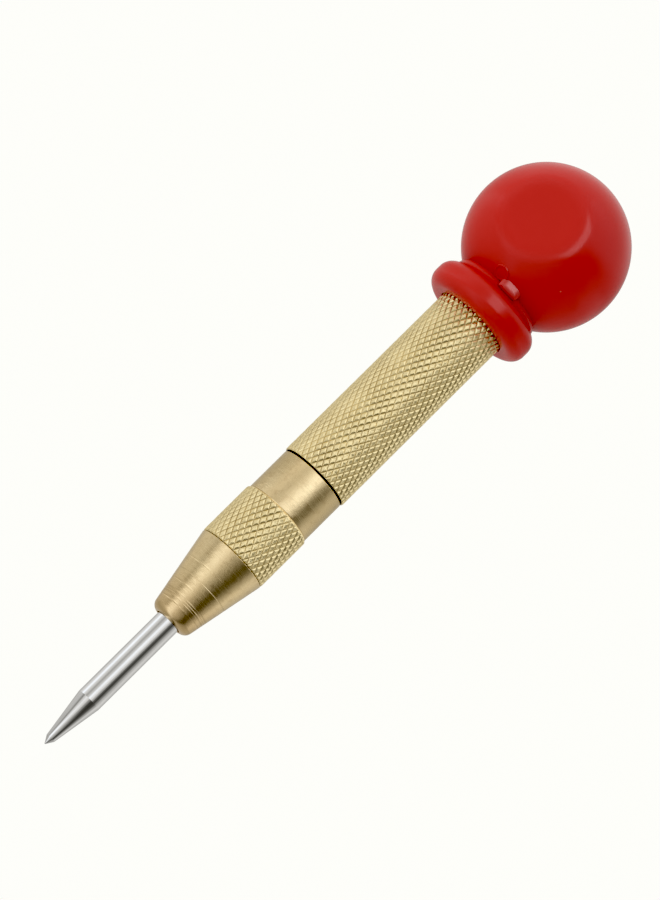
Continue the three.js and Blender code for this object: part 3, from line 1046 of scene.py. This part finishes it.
def make_world():
    """A white studio: plain white to the eye, and light and dark cards round the tool in reflections."""
    world = bpy.data.worlds.new("studio")
    bpy.context.scene.world = world
    world.use_nodes = True
    graph = Graph(world.node_tree)
    direction = graph.node("ShaderNodeTexCoord").outputs["Generated"]
    xyz = graph.node("ShaderNodeSeparateXYZ", {0: direction}).outputs
    azimuth = graph.math("ARCTAN2", xyz[0], graph.math("MULTIPLY", xyz[1], -1.0))
    from_camera = graph.math("SUBTRACT", azimuth, math.radians(CAMERA_AZIMUTH))
    turns = graph.math("DIVIDE", from_camera, 2 * math.pi)
    turn = graph.math("FRACT", graph.math("ADD", turns, 0.5))
    ring = card_ring(graph, turn, LOWEST_CARDS)
    higher = (
        (LOWEST_TOP, LOWER_BOTTOM, card_ring(graph, turn, LOWER_CARDS)),
        (LOWER_TOP, MIDDLE_BOTTOM, card_ring(graph, turn, MIDDLE_CARDS)),
        (MIDDLE_TOP, UPPER_BOTTOM, card_ring(graph, turn, UPPER_CARDS)),
        (UPPER_TOP, HIGH_BOTTOM, card_ring(graph, turn, HIGH_CARDS)),
    )
    for top, bottom, light in higher:
        ring = graph.mix(graph.smooth(xyz[2], top, bottom), ring, light)
    ground = graph.math("MULTIPLY", graph.smooth(xyz[2], GROUND_TOP, GROUND_FULL), GROUND_SHARE)
    ring = graph.mix(ground, ring, (*light_tone(GROUND_LEVEL), 1))
    background = graph.node("ShaderNodeBackground", {0: ring, 1: 1.0})
    white = graph.node("ShaderNodeBackground", {0: BACKDROP_WHITE, 1: 1.0})
    seen = graph.node("ShaderNodeLightPath").outputs["Is Camera Ray"]
    mix = graph.node("ShaderNodeMixShader", {0: seen})
    graph.tree.links.new(background.outputs[0], mix.inputs[1])
    graph.tree.links.new(white.outputs[0], mix.inputs[2])
    output = graph.node("ShaderNodeOutputWorld")
    graph.tree.links.new(mix.outputs[0], output.inputs[0])


def make_floor():
    """A pale floor at the tip's height. It can't be seen from below, where the camera stands."""
    mesh = bpy.data.meshes.new("floor")
    half = FLOOR_HALF_SIDE
    corners = [(-half, -half, 0), (half, -half, 0), (half, half, 0), (-half, half, 0)]
    mesh.from_pydata(corners, [], [(0, 1, 2, 3)])
    floor = bpy.data.objects.new("floor", mesh)
    bpy.context.scene.collection.objects.link(floor)
    material, graph, position = new_material("floor")
    distance = graph.node("ShaderNodeVectorMath", {0: position}, operation="LENGTH").outputs["Value"]
    paper = graph.node("ShaderNodeBsdfDiffuse", {0: FLOOR_PAPER}).outputs[0]
    clear = graph.node("ShaderNodeBsdfTransparent").outputs[0]
    below = graph.node("ShaderNodeNewGeometry").outputs["Backfacing"]
    far = graph.remap(distance, FLOOR_FADE_START, FLOOR_FADE_END, 0.0, 1.0)
    share = graph.math("MAXIMUM", below, far)
    mix = graph.node("ShaderNodeMixShader", {0: share, 1: paper, 2: clear})
    output = graph.node("ShaderNodeOutputMaterial")
    graph.tree.links.new(mix.outputs[0], output.inputs[0])
    mesh.materials.append(material)
    floor.visible_glossy = False


def make_camera():
    """Looks up at the tool from a little below, rolled so that the tool lies across the picture."""
    camera = bpy.data.objects.new("camera", bpy.data.cameras.new("camera"))
    bpy.context.scene.collection.objects.link(camera)
    bpy.context.scene.camera = camera
    azimuth, elevation = math.radians(CAMERA_AZIMUTH), math.radians(CAMERA_ELEVATION)
    flat = Vector((math.sin(azimuth), -math.cos(azimuth), 0))
    back = flat * math.cos(elevation) + Vector((0, 0, math.sin(elevation)))
    axis_up = (Vector((0, 0, 1)) - back * back.z).normalized()
    axis_right = axis_up.cross(back)
    roll = math.radians(CAMERA_AXIS_ANGLE)
    right = axis_up * math.cos(roll) + axis_right * math.sin(roll)
    up = axis_up * math.sin(roll) - axis_right * math.cos(roll)
    aim = Vector((0, 0, CAMERA_AIM_HEIGHT)) + right * CAMERA_AIM_RIGHT + up * CAMERA_AIM_UP
    place = (aim + back * CAMERA_DISTANCE) * MM
    matrix = Matrix((right, up, back)).transposed().to_4x4()
    matrix.translation = place
    camera.matrix_world = matrix
    camera.data.sensor_width = CAMERA_SENSOR
    camera.data.lens = CAMERA_SENSOR * CAMERA_DISTANCE / CAMERA_FRAME_HEIGHT
    camera.data.clip_start = 0.01
    camera.data.clip_end = 10


def make_key_light():
    """One large soft light above the camera and to its left. It is not seen in reflections."""
    light = bpy.data.objects.new("key", bpy.data.lights.new("key", "AREA"))
    bpy.context.scene.collection.objects.link(light)
    azimuth = math.radians(CAMERA_AZIMUTH + KEY_AZIMUTH)
    base = Vector((0, 0, KEY_BASE_HEIGHT * MM))
    aim = Vector((0, 0, KEY_AIM_HEIGHT * MM))
    light.location = base + Vector((math.sin(azimuth), -math.cos(azimuth), KEY_RISE)) * KEY_DISTANCE
    light.rotation_euler = (aim - light.location).to_track_quat("-Z", "Y").to_euler()
    light.data.size = KEY_SIZE
    light.data.energy = KEY_ENERGY
    light.visible_glossy = False


def make_window(plastic):
    """A tall window that only shines on the plastic: it makes the soft highlight in the ball's neck."""
    window = bpy.data.objects.new("window", bpy.data.lights.new("window", "AREA"))
    bpy.context.scene.collection.objects.link(window)
    azimuth = math.radians(CAMERA_AZIMUTH + WINDOW_AZIMUTH)
    rise = math.radians(WINDOW_ELEVATION)
    flat = Vector((math.sin(azimuth), -math.cos(azimuth), 0))
    towards = flat * math.cos(rise) + Vector((0, 0, math.sin(rise)))
    window.location = Vector((0, 0, WINDOW_AIM_HEIGHT * MM)) + towards * WINDOW_DISTANCE
    window.rotation_euler = towards.to_track_quat("Z", "Y").to_euler()
    window.data.shape = "RECTANGLE"
    window.data.size = WINDOW_WIDTH
    window.data.size_y = WINDOW_HEIGHT
    window.data.energy = WINDOW_ENERGY
    window.visible_diffuse = False
    window.visible_camera = False
    lit = bpy.data.collections.new("window_lit")
    lit.objects.link(plastic)
    window.light_linking.receiver_collection = lit


def set_tone():
    """A plain view of the light, with the blacks set a little deeper."""
    view = bpy.context.scene.view_settings
    view.view_transform = "Standard"
    view.use_curve_mapping = True
    view.curve_mapping.black_level = (BLACK_LEVEL, BLACK_LEVEL, BLACK_LEVEL)


set_tone()
brass = turned_brass()
knurled = knurled_brass()
polished = steel("polished_steel", TOOL_STEEL, roughness=0.07, ring_strength=0.05)
make_point(polished)
make_nose(brass, knurled)
make_barrel(knurled)
moulded = red_plastic("red_plastic", roughness=0.2, ior=1.28)
cut = red_plastic("cut_plastic", roughness=0.3, ior=1.55)
ball = make_ball(moulded, cut)
make_pin(polished)
make_hammer(steel("dark_steel", HAMMER_STEEL, roughness=0.3, ring_strength=0.4))
make_adjusting_cap(brass)
spring_wire = steel("spring_steel", SPRING_STEEL, roughness=0.3, ring_strength=0.2)
make_main_spring(spring_wire)
make_return_spring(spring_wire)
make_floor()
make_world()
make_key_light()
make_window(ball)
make_camera()

bpy.context.view_layer.update()
